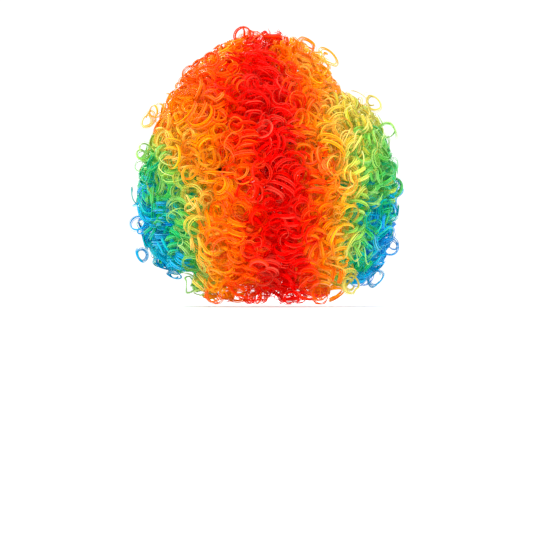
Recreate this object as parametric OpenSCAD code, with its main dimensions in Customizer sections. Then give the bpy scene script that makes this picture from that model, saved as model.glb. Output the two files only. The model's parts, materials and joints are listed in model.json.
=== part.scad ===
// Curly rainbow costume wig: an open-wefted stretch cap with striped hair sewn on in rows.
// Frame: origin at the centre of the head opening, +Z up to the crown, -Y towards the face,
// +X the wearer's left. Millimetres.

/* [Head form] */
// Breadth of the head that the relaxed cap is cut for
head_breadth = 156; // [140:1:170]
// Length of that head, forehead to back
head_length = 194; // [175:1:210]
// Height of the crown above the head's widest level
crown_height = 97; // [88:1:106]
// Height of the widest level above the centre of the head opening
rim_drop = 12.5; // [8:0.5:18]
// Fall of the opening from forehead to nape, as rise over run
rim_slope = 0.5; // [0.3:0.05:0.6]

/* [Hair] */
// Half width of the hair, ear to ear
hair_half_width = 153; // [135:1:175]
// Reach of the hair behind the head's centre
hair_back = 156; // [140:1:175]
// Reach of the hair in front of the head's centre
hair_front = 140; // [130:1:160]
// Reach of the hair above the widest level
hair_top = 190; // [160:1:210]
// Reach of the hair below the widest level, as a radius of the curve there
hair_bottom = 152; // [135:1:170]
// Roundness of the hair's outline above the widest level, where 2 is an ellipse
power_above = 1.8; // [1.6:0.1:2.4]
// Roundness of the hair's outline below it
power_below = 2.3; // [1.8:0.1:2.6]
// Gap between two colours' hair
hair_gap = 2; // [1:0.5:4]
// Room inside the hair, below the cap, for the ears and the ear tabs
ear_room = 9; // [7:0.5:14]
// Half breadth of the room for the neck
neck_half_breadth = 64; // [56:1:72]
// Half length of the room for the neck
neck_half_length = 70; // [62:1:78]

/* [Cap] */
// Width of the elastic round the back
rim_width = 15; // [10:1:22]
// Width of the ribbon along the front hairline
front_width = 12; // [8:1:18]
// Thickness of both
band_thick = 1.6; // [1:0.1:2.4]
// Where the front ribbon ends and the elastic begins, degrees from the forehead
band_split = 88; // [86:1:100]
// Thickness of the stretch net
net_thick = 0.7; // [0.5:0.1:1.2]
// Width of the cross ribbons
rib_width = 6; // [4:0.5:8]
// Thickness of the cross ribbons
rib_thick = 1.1; // [0.8:0.1:1.5]
// Width of a weft's sewn head
weft_width = 4.5; // [3:0.5:6]
// Thickness of a weft's sewn head
weft_thick = 1.4; // [1:0.1:2]
// Gap between two layers of the cap
layer_gap = 0.5; // [0.4:0.05:0.7]

/* [Ear tabs] */
// Width of an ear tab at its seam
tab_width = 30; // [22:1:36]
// Length of an ear tab
tab_length = 31; // [22:1:36]
// Thickness of an ear tab
tab_thick = 1.6; // [1:0.1:2.4]
// Clearance along the seam that the tab bends on
tab_seam_gap = 0.6; // [0.4:0.1:1]

/* [Adjusters] */
// Distance between two loops
loop_pitch = 10; // [9.5:0.5:12]
// Number of loops on each side
loop_count = 3; // [2:1:3]
// Width of the thread that a loop is made of
loop_thread = 0.8; // [0.6:0.1:1]
// Width of the hook's tongue
tongue_width = 5.2; // [4:0.2:6]
// Length of the hook's tongue
tongue_length = 6.8; // [5:0.2:7]
// Thickness of the hook
hook_thick = 0.7; // [0.6:0.1:0.9]
// Width of the adjuster's elastic
strap_width = 6; // [5:0.5:7]
// Thickness of the adjuster's elastic
strap_thick = 0.8; // [0.6:0.1:1]
// Length of elastic from its sewn end to the hook
strap_length = 14.6; // [12:0.2:18]
// Thickness of the tape that carries the loops
tape_thick = 0.8; // [0.6:0.1:1.2]

/* [Care label] */
// Width of the blank label
label_width = 22; // [16:1:30]
// Height of the blank label
label_height = 14; // [10:1:24]
// Thickness of the blank label
label_thick = 0.4; // [0.3:0.1:0.6]

/* [Hidden] */

red = [0.90, 0.02, 0.01];
orange = [1.00, 0.40, 0.01];
yellow = [0.98, 0.78, 0.05];
green = [0.10, 0.62, 0.18];
blue = [0.02, 0.45, 0.80];
cap_black = [0.06, 0.06, 0.07];
hook_grey = [0.16, 0.16, 0.18];
label_white = [0.95, 0.95, 0.93];

head = [head_breadth / 2, head_length / 2, crown_height];
head_centre = [0, 0, rim_drop];

// The colours are slices by planes that fan out from a line along Y, this many head radii below the
// head's centre, so that the stripes narrow a little towards the nape.
fan_depth = 2.8;
// Fan angles of the stripes' edges: red, orange, yellow, green, with blue out to the ear.
red_edge = 6.4;
orange_edge = 13;
yellow_edge = 16;
green_edge = 18.3;
// Where the hair starts and stops along each edge: [fan angle, angle round the head from the face].
hair_start = [[0, 6], [red_edge, 8.5], [orange_edge, 14], [yellow_edge, -15], [green_edge, -50]];
hair_stop = [[0, 236], [red_edge, 236], [orange_edge, 231], [yellow_edge, 229], [green_edge, 230]];
// Half a colour gap as a fan angle, at the hair's outer surface.
half_gap = hair_gap / 2 / (hair_half_width * fan_depth) * 180 / PI;

// Offsets of the cap's layers outside the head form, from the inside out.
net_in = band_thick + layer_gap;
net_out = net_in + net_thick;
weft_in = net_out + layer_gap;
weft_out = weft_in + weft_thick;
hair_in = weft_out + layer_gap;
rib_out = net_in - layer_gap;
rib_in = rib_out - rib_thick;

// Fan angles of the sewn rows in each colour, and angles round the head of the cross ribbons.
red_rows = [-5.2, -2.6, 0, 2.6, 5.2];
orange_rows = [7.6, 9.8, 12];
yellow_rows = [13.7, 15.2];
green_rows = [16.6, 17.7];
blue_rows = [18.8, 19.7];
rib_angles = [42, 70, 98, 126, 154, 182];
// Height above the opening at which the rows and the net stop.
hem_lift = 3;
// Cut between the two bands, and gap between two panels of the net, in degrees.
band_gap = 0.3;
seam_gap = 0.25;

function unit(v) = v / norm(v);
function mix(a, b, k) = a + (b - a) * k;

// Direction from the head's centre on the slice at fan angle t, at angle b round the head.
function slice_dir(t, b) =
    let (h = fan_depth * sin(t), rho = sqrt(max(0, 1 - h * h)))
    [h * cos(t) + rho * sin(b) * sin(t), -rho * cos(b), -h * sin(t) + rho * sin(b) * cos(t)];

// Distance from the head's centre to the cap's layer at this offset.
function layer_reach(d, offset) =
    1 / sqrt(pow(d.x / (head.x + offset), 2) + pow(d.y / (head.y + offset), 2)
        + pow(d.z / (head.z + offset), 2));

function layer_point(d, offset) = head_centre + d * layer_reach(d, offset);

// Height of a point above the plane of the head opening, measured along Z.
function lift_of(p) = p.z + rim_slope * p.y;

// Point on a layer of the cap, this high above the opening's plane. The angle is from the forehead.
function rim_point(angle, lift, offset) =
    let (
        a = head.x + offset,
        b = head.y + offset,
        c = head.z + offset,
        z0 = lift - rim_drop,
        m = rim_slope * b * cos(angle),
        qa = 1 + m * m / (c * c),
        qb = 2 * z0 * m / (c * c),
        qc = z0 * z0 / (c * c) - 1,
        s = (-qb + sqrt(qb * qb - 4 * qa * qc)) / (2 * qa)
    )
    [s * a * sin(angle), -s * b * cos(angle), lift + rim_slope * s * b * cos(angle)];

// Inner and outer reach of the hair. Below the cap the inner surface leaves room for ears and neck.
function hair_reach_in(d) =
    let (
        below = min(1, max(0, -lift_of(layer_point(d, 0)) / 12)),
        across = max(0.001, norm([d.x / neck_half_breadth, d.y / neck_half_length]))
    )
    max(layer_reach(d, hair_in + ear_room * below), d.z < 0 ? 1 / across : 0);

function hair_reach_out(d) =
    let (
        power = d.z > 0 ? power_above : power_below,
        level = norm([d.x / hair_half_width, d.y / (d.y > 0 ? hair_back : hair_front)]),
        upright = abs(d.z) / (d.z > 0 ? hair_top : hair_bottom)
    )
    pow(pow(level, power) + pow(upright, power), -1 / power);

// A point on a layer, a small distance w from p towards q.
function beside(p, q, w, offset) = layer_point(unit(p + unit(q - p) * w - head_centre), offset);

// A point on one edge of a sewn row: w is the distance from its middle line.
function row_point(t, b, w, offset) =
    beside(layer_point(slice_dir(t, b), offset), layer_point(slice_dir(t + 0.2, b), offset), w, offset);

// The same for a cross ribbon, which runs across the slices.
function rib_point(t, b, w, offset) =
    beside(layer_point(slice_dir(t, b), offset), layer_point(slice_dir(t, b + 0.5), offset), w, offset);

// The angle round the head, counted from the face or from the back, at which one edge of a row
// has risen to its end above the opening.
function row_end(t, w, from_back, lo = -60, hi = 90, n = 18) =
    n == 0 ? (lo + hi) / 2 :
    let (
        mid = (lo + hi) / 2,
        high = lift_of(row_point(t, from_back ? 180 - mid : mid, w, weft_in)) > hem_lift
    )
    high ? row_end(t, w, from_back, lo, mid, n - 1) : row_end(t, w, from_back, mid, hi, n - 1);

// The fan angle at which one edge of a cross ribbon comes down to this height above the opening.
function rib_end(b, w, lift, lo = 5, hi = 20.4, n = 18) =
    n == 0 ? (lo + hi) / 2 :
    let (mid = (lo + hi) / 2, high = lift_of(rib_point(mid, b, w, rib_in)) > lift)
    high ? rib_end(b, w, lift, mid, hi, n - 1) : rib_end(b, w, lift, lo, mid, n - 1);

// A closed solid between two grids of points, under and over, of the same size.
function grid_points(g) = [for (row = g) for (p = row) p];
function grid_faces(rows, cols, base = 0) =
    let (n = rows * cols, at = function(i, j, k) base + k * n + i * cols + j)
    concat(
        [for (i = [0:rows - 2]) for (j = [0:cols - 2])
            [at(i, j, 0), at(i, j + 1, 0), at(i + 1, j + 1, 0), at(i + 1, j, 0)]],
        [for (i = [0:rows - 2]) for (j = [0:cols - 2])
            [at(i, j, 1), at(i + 1, j, 1), at(i + 1, j + 1, 1), at(i, j + 1, 1)]],
        [for (i = [0:rows - 2]) [at(i, 0, 0), at(i + 1, 0, 0), at(i + 1, 0, 1), at(i, 0, 1)]],
        [for (i = [0:rows - 2])
            [at(i, cols - 1, 1), at(i + 1, cols - 1, 1), at(i + 1, cols - 1, 0), at(i, cols - 1, 0)]],
        [for (j = [0:cols - 2]) [at(0, j, 1), at(0, j + 1, 1), at(0, j + 1, 0), at(0, j, 0)]],
        [for (j = [0:cols - 2])
            [at(rows - 1, j, 0), at(rows - 1, j + 1, 0), at(rows - 1, j + 1, 1), at(rows - 1, j, 1)]]
    );

// Several such solids in one polyhedron. Each sheet is [under, over].
module sheets(list) {
    rows = len(list[0][0]);
    cols = len(list[0][0][0]);
    polyhedron(
        points = [for (s = list) each concat(grid_points(s[0]), grid_points(s[1]))],
        faces = [for (k = [0:len(list) - 1]) each grid_faces(rows, cols, k * 2 * rows * cols)],
        convexity = 8);
}

function flipped(g, side) = side > 0 ? g : [for (row = g) [for (p = row) [-p.x, p.y, p.z]]];
function sided(under, over, side) =
    side > 0 ? [over, under] : [flipped(under, side), flipped(over, side)];

// One colour's hair between two fan angles. The middle stripe spans both sides.
module hair_stripe(t0, t1, side, rows = 4, cols = 34) {
    ts = [for (i = [0:rows]) mix(t0, t1, i / rows)];
    dirs = [for (t = ts)
        let (b0 = lookup(abs(t), hair_start), b1 = lookup(abs(t), hair_stop))
        [for (j = [0:cols])
            let (d = slice_dir(abs(t), mix(b0, b1, j / cols))) [sign(t) * d.x, d.y, d.z]]];
    under = [for (row = dirs) [for (d = row) head_centre + d * hair_reach_in(d)]];
    over = [for (row = dirs) [for (d = row) head_centre + d * hair_reach_out(d)]];
    sheets([sided(under, over, side)]);
}

// A square grid bent onto a disc.
function disc(n) = [for (i = [0:n]) [for (j = [0:n])
    let (u = 2 * i / n - 1, v = 2 * j / n - 1) [u * sqrt(1 - v * v / 2), v * sqrt(1 - u * u / 2)]]];

// The hair over an ear: a round patch centred on the fan's outermost slice.
module hair_patch(t, side, n = 14) {
    spread = acos(fan_depth * sin(t));
    axis = [cos(t), 0, -sin(t)];
    up = [sin(t), 0, cos(t)];
    dirs = [for (row = disc(n)) [for (q = row)
        let (r = norm(q) * spread, w = norm(q) > 0 ? q / norm(q) : [0, 0])
        axis * cos(r) + ([0, -1, 0] * w.x + up * w.y) * sin(r)]];
    under = [for (row = dirs) [for (d = row) head_centre + d * hair_reach_in(d)]];
    over = [for (row = dirs) [for (d = row) head_centre + d * hair_reach_out(d)]];
    sheets([sided(over, under, side)]);
}

// A narrow ribbon on the cap along one slice, from rim to rim.
function row_sheet(t, side, cols = 26) =
    let (
        way = (t < 0 ? -1 : 1) * side,
        half = weft_width / 2,
        edge = function(w, offset)
            let (b0 = row_end(abs(t), w, false), b1 = 180 - row_end(abs(t), w, true))
            [for (j = [0:cols]) row_point(abs(t), mix(b0, b1, j / cols), w, offset)],
        under = [edge(-half, weft_in), edge(half, weft_in)],
        over = [edge(-half, weft_out), edge(half, weft_out)]
    )
    sided(under, over, way);

module weft_rows(rows, side) {
    sheets([for (t = rows) row_sheet(t, side)]);
}

// A ribbon across the cap from side to side, between the net and the head.
module cross_ribbon(b, cols = 26) {
    lift = max(rim_width, front_width) + layer_gap;
    half = rib_width / 2;
    edge = function(w, offset)
        let (end = rib_end(b, w, lift))
        [for (j = [0:cols])
            let (t = mix(-end, end, j / cols), p = rib_point(abs(t), b, w, offset))
            [(t < 0 ? -1 : 1) * p.x, p.y, p.z]];
    color(cap_black)
        sheets([[
            [edge(-half, rib_in), edge(half, rib_in)],
            [edge(-half, rib_out), edge(half, rib_out)]
        ]]);
}

// One panel of the stretch net. The panels meet over the middles of the cross ribbons, and the first
// and last run to the hem.
module net_panel(i, rows = 4, cols = 36) {
    last = len(rib_angles);
    seam = function(k) rib_angles[k] + (k == i ? -seam_gap : seam_gap) / 2;
    from = function(t) i == 0 ? row_end(abs(t), 0, false) : seam(i - 1);
    to = function(t) i == last ? 180 - row_end(abs(t), 0, true) : seam(i);
    // where an edge of the panel comes down to the hem, short of the point where two edges meet
    reach = function(k) rib_end(k == i ? seam(i) : seam(i - 1), 0, hem_lift);
    tip = i == 0 ? 0.96 * reach(0) : i == last ? 0.96 * reach(last - 1) : 0;
    line = function(k, offset) [for (j = [0:cols])
        let (
            end = tip > 0 ? tip : mix(reach(i - 1), reach(i), k),
            t = mix(-end, end, j / cols),
            p = layer_point(slice_dir(abs(t), mix(from(t), to(t), k)), offset)
        )
        [(t < 0 ? -1 : 1) * p.x, p.y, p.z]];
    color(cap_black)
        sheets([[
            [for (k = [0:rows]) line(k / rows, net_in)],
            [for (k = [0:rows]) line(k / rows, net_out)]
        ]]);
}

// A band that lies on the head form just above the opening.
module band(from, to, width, cols) {
    line = function(lift, offset) [for (j = [0:cols]) rim_point(mix(from, to, j / cols), lift, offset)];
    color(cap_black)
        sheets([[
            [line(0, 0), line(width, 0)],
            [line(0, band_thick), line(width, band_thick)]
        ]]);
}

module rim_elastic() {
    band(band_split + band_gap, 360 - band_split - band_gap, rim_width, 48);
}

module front_hairline_ribbon() {
    band(-band_split + band_gap, band_split - band_gap, front_width, 34);
}

// Ear tab: a flat flap whose top edge is the seam that it bends on.
tab_mid_angle = 75;
tab_seam_mid = rim_point(tab_mid_angle, 0, band_thick / 2);
tab_seam_dir = unit(rim_point(tab_mid_angle + 8, 0, band_thick / 2)
    - rim_point(tab_mid_angle - 8, 0, band_thick / 2));
tab_foot = layer_point(unit(tab_seam_mid + [0, -0.4 * tab_length, -0.95 * tab_length] - head_centre),
    band_thick / 2);
tab_up = unit((tab_seam_mid - tab_foot) - tab_seam_dir * ((tab_seam_mid - tab_foot) * tab_seam_dir));
tab_out = cross(tab_seam_dir, tab_up);

// Puts a local frame's X, Y and Z along three directions at a point.
module placed(at, x, y, z) {
    multmatrix([
        [x.x, y.x, z.x, at.x],
        [x.y, y.y, z.y, at.y],
        [x.z, y.z, z.z, at.z],
        [0, 0, 0, 1]
    ]) children();
}

module ear_tab() {
    tip = min(tab_width * 0.36, tab_length - tab_seam_gap - 2);
    outline = concat(
        [[-tab_width / 2, -tab_seam_gap], [tab_width / 2, -tab_seam_gap]],
        [for (a = [0:7.5:180]) [tip * cos(a), -(tab_length - tip) - tip * sin(a)]]
    );
    color(cap_black)
        placed(tab_seam_mid, tab_seam_dir, tab_up, tab_out)
            translate([0, 0, -tab_thick / 2]) linear_extrude(tab_thick) polygon(outline);
}

// Adjuster: a tape with loops, sewn inside the rim near the nape, and a hook on a short elastic.
// Its local frame runs X along the tape towards the nape's centre, Y into the head, Z up the tape.
adjuster_from = rim_point(134, rim_width / 2, 0);
adjuster_to = rim_point(176, rim_width / 2, 0);
adjuster_x = unit(adjuster_to - adjuster_from);
adjuster_y = unit(cross(rim_point(155, rim_width, 0) - rim_point(155, 0, 0), adjuster_x));
adjuster_z = cross(adjuster_x, adjuster_y);

loop_clear = 0.3;
first_loop = strap_length + 5.2;
tongue_y0 = tape_thick + 0.4;
loop_y0 = tongue_y0 + hook_thick + loop_clear;
plate_y0 = loop_y0 + loop_thread + loop_clear;
loop_half = tongue_width / 2 + 0.9;
bend_x = first_loop + loop_thread + loop_clear;
hook_pin_r = 0.6;
pin_clear = 0.1;
pin_y = plate_y0 + hook_thick / 2;
eye_r = hook_pin_r + pin_clear + strap_thick * 0.6;
cheek = 0.8;
fold_end = 1;
tape_start = -4;
tape_end = first_loop + (loop_count - 1) * loop_pitch + 4;
tape_width = 2 * (loop_half + loop_thread) + 1.2;

// The tape's middle is at the middle of the chord that it lies on.
adjuster_at = (adjuster_from + adjuster_to) / 2 - adjuster_x * (tape_start + tape_end) / 2;

module in_adjuster() {
    placed(adjuster_at, adjuster_x, adjuster_y, adjuster_z) children();
}

module block(x0, x1, y0, y1, half) {
    translate([x0, y0, -half]) cube([x1 - x0, y1 - y0, 2 * half]);
}

module loop_tape() {
    color(cap_black) in_adjuster() block(tape_start, tape_end, 0, tape_thick, tape_width / 2);
}

module loops() {
    color(cap_black) in_adjuster()
        for (i = [0:loop_count - 1])
            translate([first_loop + i * loop_pitch, 0, 0])
                difference() {
                    block(0, loop_thread, tape_thick, loop_y0 + loop_thread, loop_half + loop_thread);
                    block(-1, loop_thread + 1, tape_thick - 1, loop_y0, loop_half);
                }
}

// The strap is sewn down on the tape and wraps round the hook's pin.
module adjuster_strap() {
    bore = hook_pin_r + pin_clear;
    color(cap_black) in_adjuster()
        difference() {
            union() {
                block(tape_start, fold_end, tape_thick, pin_y + strap_thick / 2, strap_width / 2);
                block(0, strap_length, pin_y - strap_thick / 2, pin_y + strap_thick / 2, strap_width / 2);
                translate([strap_length, pin_y, -strap_width / 2])
                    cylinder(r = eye_r, h = strap_width, $fn = 48);
            }
            translate([strap_length, pin_y, -strap_width])
                cylinder(r = bore, h = 2 * strap_width, $fn = 48);
        }
}

module adjuster_hook() {
    wide = strap_width / 2 + loop_clear;
    plate_x = strap_length + eye_r + 0.5;
    color(hook_grey) in_adjuster() {
        translate([strap_length, pin_y, -wide - cheek])
            cylinder(r = hook_pin_r, h = 2 * (wide + cheek), $fn = 48);
        for (z = [-wide - cheek, wide])
            translate([strap_length, plate_y0, z]) cube([plate_x - strap_length + 1, hook_thick, cheek]);
        block(plate_x, bend_x + hook_thick, plate_y0, plate_y0 + hook_thick, wide + cheek);
        block(bend_x, bend_x + hook_thick, tongue_y0, plate_y0 + hook_thick, tongue_width / 2);
        block(bend_x + hook_thick - tongue_length, bend_x + hook_thick, tongue_y0,
            tongue_y0 + hook_thick, tongue_width / 2);
    }
}

// A blank label that hangs inside the net, in the middle of the back.
module care_label() {
    inward = 0.2;
    low = rim_point(180, rim_width + 2 * layer_gap, inward);
    high = rim_point(180, rim_width + 2 * layer_gap + label_height, inward);
    upward = unit(high - low);
    along = [-1, 0, 0];
    color(label_white)
        placed(low, along, cross(upward, along), upward)
            translate([-label_width / 2, 0, 0]) cube([label_width, label_thick, label_height]);
}

// Draws a left-hand piece, or its mirror image for the right.
module both(side) {
    if (side > 0) children();
    else mirror([1, 0, 0]) children();
}

// Each colour's hair, and the sewn rows that it hangs from.
module hair_red() {
    color(red) hair_stripe(-red_edge + half_gap, red_edge - half_gap, 1, 8);
}

module hair_orange(side) {
    color(orange) hair_stripe(red_edge + half_gap, orange_edge - half_gap, side);
}

module hair_yellow(side) {
    color(yellow) hair_stripe(orange_edge + half_gap, yellow_edge - half_gap, side);
}

module hair_green(side) {
    color(green) hair_stripe(yellow_edge + half_gap, green_edge - half_gap, side);
}

module hair_blue(side) {
    color(blue) hair_patch(green_edge + half_gap, side);
}

module weft_heads_red() {
    color(red) weft_rows(red_rows, 1);
}

module weft_heads_orange(side) {
    color(orange) weft_rows(orange_rows, side);
}

module weft_heads_yellow(side) {
    color(yellow) weft_rows(yellow_rows, side);
}

module weft_heads_green(side) {
    color(green) weft_rows(green_rows, side);
}

module weft_heads_blue(side) {
    color(blue) weft_rows(blue_rows, side);
}

for (i = [0:len(rib_angles)])
    net_panel(i);
front_hairline_ribbon();
rim_elastic();
care_label();
for (i = [0:len(rib_angles) - 1])
    cross_ribbon(rib_angles[i]);

weft_heads_red();
hair_red();

for (s = [["left", 1], ["right", -1]]) {
    weft_heads_orange(s[1]);
    weft_heads_yellow(s[1]);
    weft_heads_green(s[1]);
    weft_heads_blue(s[1]);
    hair_orange(s[1]);
    hair_yellow(s[1]);
    hair_green(s[1]);
    hair_blue(s[1]);
    both(s[1]) ear_tab();
    both(s[1]) loop_tape();
    both(s[1]) loops();
    both(s[1]) adjuster_strap();
    both(s[1]) adjuster_hook();
}
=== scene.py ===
"""A curly rainbow costume wig: striped ringlets sewn in rows on an open stretch cap."""

import json
import math

import bmesh
import bpy
import numpy as np
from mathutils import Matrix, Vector


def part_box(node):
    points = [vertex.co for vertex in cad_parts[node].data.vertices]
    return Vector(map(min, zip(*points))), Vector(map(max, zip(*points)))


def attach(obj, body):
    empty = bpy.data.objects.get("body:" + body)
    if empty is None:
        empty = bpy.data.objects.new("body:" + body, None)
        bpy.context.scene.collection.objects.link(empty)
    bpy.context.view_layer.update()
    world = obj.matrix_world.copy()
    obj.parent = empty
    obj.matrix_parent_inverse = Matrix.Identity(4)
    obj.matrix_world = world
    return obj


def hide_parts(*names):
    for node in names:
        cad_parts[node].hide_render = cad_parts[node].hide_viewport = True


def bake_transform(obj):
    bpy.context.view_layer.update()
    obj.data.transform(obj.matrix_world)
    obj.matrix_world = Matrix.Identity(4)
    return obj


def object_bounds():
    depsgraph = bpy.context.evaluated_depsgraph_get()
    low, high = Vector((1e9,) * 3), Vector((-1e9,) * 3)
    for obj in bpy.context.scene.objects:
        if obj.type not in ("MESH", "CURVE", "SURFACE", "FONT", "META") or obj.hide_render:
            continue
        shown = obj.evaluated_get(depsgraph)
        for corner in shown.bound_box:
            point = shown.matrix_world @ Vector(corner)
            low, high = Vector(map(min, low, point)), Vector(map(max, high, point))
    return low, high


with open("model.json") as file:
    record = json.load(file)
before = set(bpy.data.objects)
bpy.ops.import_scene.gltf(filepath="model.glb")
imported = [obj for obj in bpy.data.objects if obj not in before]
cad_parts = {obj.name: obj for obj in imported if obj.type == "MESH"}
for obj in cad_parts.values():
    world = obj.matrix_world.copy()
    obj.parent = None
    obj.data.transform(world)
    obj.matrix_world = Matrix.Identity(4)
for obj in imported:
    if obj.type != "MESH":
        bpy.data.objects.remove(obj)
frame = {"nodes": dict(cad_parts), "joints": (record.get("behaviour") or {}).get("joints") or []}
cad_bounds = [list(corner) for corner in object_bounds()]

MM = 0.001
rng = np.random.default_rng(41)

# --- Sizes from the frame -------------------------------------------------------------------------

# Height of the head's widest level above the centre of the head opening.
CENTRE_HEIGHT = 12.5 * MM
CENTRE = np.array([0, 0, CENTRE_HEIGHT])
# Fall of the head opening from forehead to nape.
RIM_SLOPE = 0.5

# Half breadth, half length and height of the outside of the net.
net_high = np.max([list(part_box(f"net_panel_{i}")[1]) for i in range(1, 8)], axis=0)
NET = net_high - CENTRE

red_low, red_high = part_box("hair_red")
HALF_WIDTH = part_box("hair_blue_left")[1].x
BACK = red_high.y
FRONT = -red_low.y
TOP = red_high.z - CENTRE_HEIGHT
BOTTOM = 152 * MM
POWER_ABOVE = 1.8
POWER_BELOW = 2.3

# Room that the hair leaves: over the sewn rows, over the ears below the rim, and round the neck.
OVER_ROWS = 3.4 * MM
OVER_EARS = 9 * MM
RIM_BLEND = 12 * MM
NECK = (64 * MM, 70 * MM)

# The stripes are cut by planes that fan out from a line this many head radii below the centre.
FAN = 2.8
# Where the hair starts at the face and stops at the nape, in degrees round the head, by fan angle.
START = ([0, 6.4, 13, 16, 18.3], [6, 8.5, 14, -15, -50])
STOP = ([0, 6.4, 13, 16, 18.3], [236, 237, 242, 246, 250])
PATCH_EDGE = 18.3
# How far the hair hangs below the centre of the opening at the back and at the sides.
HEM_BACK = 121 * MM
HEM_SIDE = 86 * MM
HEM_TILT = 11 * MM
HEM_LIMIT = -122 * MM
# The hair on the right shoulder of the crown is shorter: by this share, and where, in degrees.
DENT_DEPTH = 0.12
DENT_ANGLE = 35
DENT_WIDTH = 13

COLOURS = ["red", "orange", "yellow", "green", "blue"]
SHEENS = ["#ff5030", "#ffc050", "#fff080", "#a0ff90", "#58d0ff"]
# Where one colour gives way to the next, as a share of the way from the middle to the ear.
LEFT_EDGES = [0, 0.21, 0.67, 0.81, 1.03, 1.28]
RIGHT_EDGES = [0, 0.19, 0.46, 0.61, 0.84, 1.18]
# Degrees round the head where the front's hair ends and the nape's begins.
ZONES = ["front", "crown", "nape"]
ZONE_ENDS = [80, 150]

# Strands: the least room over the cap, how much of an overrun they keep, where the neck starts,
# and the fewest rings that a full turn of a curl is made with.
OVER_CAP = 1.2 * MM
KEPT_PAST = 0.45
LIFTED_UNDER = 0.85
NECK_TOP = -20 * MM
RINGS_PER_TURN = 13

# Depth of the inside of the bands under the outside of the net.
BAND_DEPTH = 2.8 * MM


# --- Small helpers --------------------------------------------------------------------------------


def unit(v):
    return v / np.maximum(np.linalg.norm(v, axis=-1, keepdims=True), 1e-12)


def smooth(x):
    x = np.clip(x, 0, 1)
    return x * x * (3 - 2 * x)


def dot(a, b):
    return (a * b).sum(-1, keepdims=True)


def linear(hex_colour):
    """A screen colour as the linear values that a shader takes."""
    parts = [int(hex_colour[i : i + 2], 16) / 255 for i in (1, 3, 5)]
    return [p / 12.92 if p <= 0.04045 else ((p + 0.055) / 1.055) ** 2.4 for p in parts] + [1]


def lumps(d, seed, waves=9, scale=5.0):
    """A slow swelling over the directions d, between about -1 and 1."""
    own = np.random.default_rng(seed)
    way = unit(own.normal(size=(waves, 3))) * own.uniform(0.5, 1.0, (waves, 1)) * scale
    shift = own.uniform(0, 2 * math.pi, waves)
    return np.sin(d @ way.T + shift).sum(-1) / math.sqrt(waves)


# --- The hair's space -----------------------------------------------------------------------------


def layer_reach(d, offset):
    """Distance from the head's centre to a layer of the cap, this far outside the net."""
    return 1 / np.linalg.norm(d / (NET + np.asarray(offset)[..., None]), axis=-1)


def cap_reach(d):
    """Distance from the head's centre to the nearest hair, over the sewn rows and the ears."""
    on_net = d * layer_reach(d, 0)[..., None] + CENTRE
    lift = on_net[..., 2] + RIM_SLOPE * on_net[..., 1]
    below = smooth(-lift / RIM_BLEND)
    return layer_reach(d, OVER_ROWS + OVER_EARS * below)


def reach_in(d):
    """The same with the wearer's neck kept clear."""
    neck = 1 / np.maximum(np.hypot(d[..., 0] / NECK[0], d[..., 1] / NECK[1]), 0.5)
    return np.maximum(cap_reach(d), np.where(d[..., 2] < 0, neck, 0))


def reach_out(d):
    front_or_back = np.where(d[..., 1] > 0, BACK, FRONT)
    top_or_bottom = np.where(d[..., 2] > 0, TOP, BOTTOM)
    power = np.where(d[..., 2] > 0, POWER_ABOVE, POWER_BELOW)
    level = np.hypot(d[..., 0] / HALF_WIDTH, d[..., 1] / front_or_back)
    upright = np.abs(d[..., 2]) / top_or_bottom
    reach = (level**power + upright**power) ** (-1 / power)
    fall = np.maximum(-d[..., 2], 0.05)
    at_nape = (1 - smooth((np.abs(d[..., 0]) / fall - 0.66) / 0.25)) * smooth(d[..., 1] * 4)
    hem = HEM_SIDE + (HEM_BACK - HEM_SIDE) * at_nape - HEM_TILT * d[..., 0] * (1 - at_nape)
    reach = np.minimum(reach, (hem + CENTRE_HEIGHT) / fall)
    tilt = np.degrees(np.arctan2(-d[..., 0], d[..., 2]))
    reach = reach * (1 - DENT_DEPTH * np.exp(-(((tilt - DENT_ANGLE) / DENT_WIDTH) ** 2)))
    return reach * (1 + 0.014 * lumps(d, 5) + 0.012 * lumps(d, 6, scale=11.0))


def fan_angle(d):
    """Degrees of the plane of the fan that the direction lies in, positive on the wearer's left."""
    return np.degrees(np.arctan2(d[..., 0], d[..., 2] + FAN))


def round_angle(d):
    """Degrees round the head in that plane: 0 at the face, 90 at the crown, 180 at the back."""
    t = np.radians(fan_angle(d))
    along = d[..., 0] * np.sin(t) + d[..., 2] * np.cos(t)
    return (np.degrees(np.arctan2(along, -d[..., 1])) + 90) % 360 - 90


def covered(d):
    """True where hair grows or hangs."""
    t, b = np.abs(fan_angle(d)), round_angle(d)
    in_stripe = (b > np.interp(t, *START)) & (b < np.interp(t, *STOP))
    return in_stripe | (t > PATCH_EDGE)


def dye_of(d):
    """The place on the rainbow, from 0 at the red's middle to 5 at the end of the blue."""
    behind = smooth(d[..., 1] * 2 + 0.4)
    lean = (-0.11 + 0.15 * smooth((d[..., 2] - 0.1) / 0.7)) * behind
    place = (d[..., 0] - lean) / (1 + 0.15 * d[..., 2])
    drop = np.where(place > 0, 0.24, np.where(d[..., 2] < 0, 0.58, 0.34)) * d[..., 2]
    outer = np.abs(place) - drop * smooth((np.abs(place) - 0.5) / 0.3)
    left = np.interp(outer, LEFT_EDGES, range(6))
    right = np.interp(outer, RIGHT_EDGES, range(6))
    return np.where(place > 0, left, right) + 0.8 * smooth((d[..., 2] - 0.84) / 0.14), place > 0


# --- Strands --------------------------------------------------------------------------------------


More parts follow.
